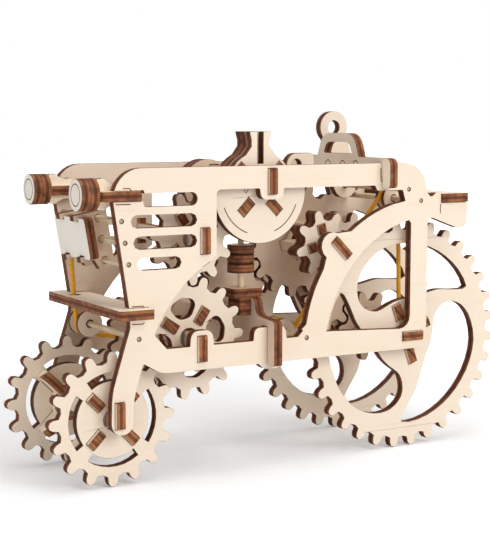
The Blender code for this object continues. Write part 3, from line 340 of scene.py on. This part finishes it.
def look_for(node, seed):
    if node in BANDS:
        return band_look(node + "_look")
    if node.endswith("_rod"):
        return rod_look(node + "_look", seed)
    # Bright is partly the char and partly painted light: side sheets' edges are painted darker as
    # shade, bar and hub ends lighter as if lit
    axis, grain, bright, end_axis = Y_AXIS, SIDE_GRAIN, 0.1, None
    if node in CROSS:
        axis, grain, bright = X_AXIS, CROSS_GRAIN, 0.45
    elif node in LEVEL:
        axis, grain, bright = Z_AXIS, CROSS_GRAIN, 0.5
    elif node == "badge":
        axis, grain, bright = (math.cos(LEAN), 0, math.sin(LEAN)), CROSS_GRAIN, 0.35
    elif node == "pinion_bar":
        axis, grain, bright = (SLANT, 0, SLANT), CROSS_GRAIN, 0.7
    elif node in HUBS:
        axis, grain, bright, end_axis = (SLANT, 0, SLANT), CROSS_GRAIN, 0.75, Y_AXIS
    if node.endswith("_bar"):
        bright = 0.7
    arm = rod = None
    if node.endswith("headlight_bracket"):
        side = -1 if node.startswith("left") else 1
        tip = -lowest(node, (0, -side, 0)) * side
        middle = (lowest(node, Z_AXIS) - lowest(node, (0, 0, -1))) / 2
        arm = (tip - side * (BRACKET_TIP_Y - BRACKET_PLATE_Y), middle - 0.5 - PLY / 2)
        bright = 0.4
    elif node in ("link_gear", "idler_gear"):
        rod = "pin"
    elif node == "governor":
        middle = [(lowest(node, way) - lowest(node, [-v for v in way])) / 2 for way in (X_AXIS, Y_AXIS)]
        rod = (*middle, -lowest(node, (0, 0, -1)) - 6.0)
        bright = 0.3
    # Painted shade on the frames' inner faces and, stronger, on the pieces between the frames
    painted_shade = None
    if node in ("left_frame", "right_frame"):
        painted_shade = (1 if node == "left_frame" else -1, 0.15)
    elif node in INNER:
        painted_shade = (0, 0.45)
    look = (axis, lowest(node, axis), grain, bright, seed, end_axis, arm, rod, painted_shade)
    return ply_look(node + "_look", *look)


def dress_nodes():
    for index, (name, node) in enumerate(sorted(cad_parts.items())):
        node.data.materials.clear()
        node.data.materials.append(look_for(name, 1.0 + 0.37 * index))
        node.data.shade_smooth()
        weld = node.modifiers.new("weld", "WELD")
        weld.merge_threshold = WELD_GAP * MM
        if name in BANDS or name.endswith("_rod"):
            continue
        bevel = node.modifiers.new("worn_edges", "BEVEL")
        bevel.width = WORN_EDGE * MM
        bevel.segments = 1
        bevel.limit_method = "ANGLE"
        bevel.angle_limit = math.radians(50)
        normals = node.modifiers.new("flat_faces", "WEIGHTED_NORMAL")
        normals.weight = 100


def bow(centre, radius, start, end, steps=12):
    turns = [math.radians(start + (end - start) * i / steps) for i in range(steps + 1)]
    return [(centre[0] + radius * math.cos(a), centre[1] + radius * math.sin(a)) for a in turns]


# Engraved lines, as (x, z) from the front axle, in millimetres
FRAME_LINES = (
    ((2.3, 91.2), (4.4, 91.2), (5.0, 90.5)),
    ((-0.2, 86.5), (4.7, 86.5)),
    ((4.8, 55.8), (8.5, 55.8), (9.2, 54.9)),
    ((4.9, 50.5), (8.4, 50.3), (9.0, 50.8)),
    ((95.5, 95.6), (95.6, 91.6), (96.7, 90.8)),
    ((120.4, 83.0), (120.4, 79.8)),
)
ENGINE_LINES = (
    bow(ENGINE_AXIS, ENGINE_LINE_RADIUS, 201, 250),
    bow(ENGINE_AXIS, ENGINE_LINE_RADIUS, 292, 340),
    ((45.4, 89.7), (46.3, 88.5), (47.1, 89.7)),
)
# Dial middles, as (y, z)
DIALS = ((8.2, 95.9), (-0.8, 95.9), (-8.6, 96.1))


def add_lines(name, routes, spot, flat, closed=False):
    """Thin burnt lines on a face: spot makes a row-frame point in mm from each (u, v)."""
    curve = bpy.data.curves.new(name, "CURVE")
    curve.dimensions = "3D"
    curve.bevel_depth = LINE_WIDTH
    curve.bevel_resolution = 1
    curve.use_fill_caps = True
    for route in routes:
        spline = curve.splines.new("POLY")
        spline.points.add(len(route) - 1)
        for point, (u, v) in zip(spline.points, route):
            point.co = (*spot(u, v), 1)
        spline.use_cyclic_u = closed
    lines = bpy.data.objects.new(name, curve)
    lines.scale = [LINE_FLATNESS * MM if axis == flat else MM for axis in range(3)]
    curve.materials.append(LINE_LOOK)
    bpy.context.scene.collection.objects.link(lines)
    return lines


def ring(y, z, radius, steps=16):
    turns = [2 * math.pi * i / steps for i in range(steps)]
    return [(y + radius * math.cos(turn), z + radius * math.sin(turn)) for turn in turns]


def make_lines():
    for name, y in (("left_frame_lines", -FRAME_FACE_Y), ("right_frame_lines", FRAME_FACE_Y)):
        lines = add_lines(name, FRAME_LINES, lambda x, z: (x - ORIGIN_X, 0, z), 1)
        lines.location.y = y * MM
        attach(lines, "chassis")
    lines = add_lines("engine_lines", ENGINE_LINES, lambda x, z: (x - ORIGIN_X, 0, z), 1)
    lines.location.y = -ENGINE_FACE_Y * MM
    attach(lines, "chassis")
    rings = [ring(y, z, DIAL_RADIUS) for y, z in DIALS]
    dials = add_lines("dial_rings", rings, lambda y, z: (0, y, z), 0, True)
    dials.location.x = (DASH_FACE_X - ORIGIN_X) * MM
    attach(dials, "chassis")
    rings = [ring(y, z, LENS_RING_RADIUS, 24) for y, z in LENS_PLACES]
    lenses = add_lines("lens_rings", rings, lambda y, z: (0, y, z), 0, True)
    lenses.location.x = (LENS_FACE_X - ORIGIN_X) * MM
    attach(lenses, "chassis")


def seen_directly(nodes, links):
    """1 for rays from the camera, and for those off metal or through glass, else 0."""
    path = nodes.new("ShaderNodeLightPath")
    value = path.outputs["Is Camera Ray"]
    for kind in ("Is Glossy Ray", "Is Transmission Ray"):
        node = nodes.new("ShaderNodeMath")
        node.operation = "MAXIMUM"
        links.new(value, node.inputs[0])
        links.new(path.outputs[kind], node.inputs[1])
        value = node.outputs[0]
    return value


def make_stage():
    """A pale floor that keeps the soft shadow near the model and fades to white further out."""
    bpy.ops.mesh.primitive_plane_add(size=6, location=(0, 0, 0))
    floor = bpy.context.object
    floor.name = "floor"
    tree = Tree("floor_look")
    span = tree.nodes.new("ShaderNodeVectorMath")
    span.operation = "LENGTH"
    tree.links.new(tree.place, span.inputs[0])
    far = tree.step(span.outputs["Value"], *FADE)
    tree.shader.inputs["Base Color"].default_value = FLOOR
    tree.shader.inputs["Roughness"].default_value = 0.9
    tree.shader.inputs["Specular IOR Level"].default_value = 0.0
    tree.shader.inputs["Emission Color"].default_value = WHITE
    glow = tree.math("MULTIPLY", blend(tree, far, *GLOW), seen_directly(tree.nodes, tree.links))
    tree.links.new(glow, tree.shader.inputs["Emission Strength"])
    floor.data.materials.append(tree.material)


def make_world():
    """White where it is seen, and a softer warm light elsewhere."""
    world = bpy.data.worlds.new("studio")
    bpy.context.scene.world = world
    world.use_nodes = True
    nodes = world.node_tree.nodes
    links = world.node_tree.links
    soft = nodes["Background"]
    soft.inputs["Color"].default_value = SKY
    soft.inputs["Strength"].default_value = SKY_STRENGTH
    seen = nodes.new("ShaderNodeBackground")
    seen.inputs["Color"].default_value = WHITE
    seen.inputs["Strength"].default_value = 1.0
    mix = nodes.new("ShaderNodeMixShader")
    links.new(seen_directly(nodes, links), mix.inputs[0])
    links.new(soft.outputs[0], mix.inputs[1])
    links.new(seen.outputs[0], mix.inputs[2])
    links.new(mix.outputs[0], nodes["World Output"].inputs["Surface"])


def add_area(name, place, target, size, power, colour):
    light = bpy.data.lights.new(name, "AREA")
    light.size = size
    light.energy = power
    light.color = colour
    lamp = bpy.data.objects.new(name, light)
    bpy.context.scene.collection.objects.link(lamp)
    lamp.location = place
    lamp.rotation_mode = "QUATERNION"
    lamp.rotation_quaternion = (Vector(target) - Vector(place)).to_track_quat("-Z", "Y")


def make_camera():
    data = bpy.data.cameras.new("photo_camera")
    camera = bpy.data.objects.new("photo_camera", data)
    bpy.context.scene.collection.objects.link(camera)
    bpy.context.scene.camera = camera
    wide, high = PICTURE
    data.sensor_width = SENSOR
    data.lens = FOCAL * SENSOR / high
    data.shift_x = (wide / 2 - CENTRE[0]) / high
    data.shift_y = (CENTRE[1] - high / 2) / high
    data.clip_start = 0.01
    data.clip_end = 20
    x, y, z = CAMERA_PLACE
    camera.location = ((x - ORIGIN_X) * MM, y * MM, z * MM)
    camera.rotation_euler = (math.radians(90 - CAMERA_DIP), 0, math.radians(-CAMERA_TURN))


LINE_LOOK = line_look()
dress_nodes()
make_lines()
make_stage()
make_world()
for lamp in LAMPS:
    add_area(*lamp)
make_camera()

scene = bpy.context.scene
scene.view_settings.view_transform = "Standard"
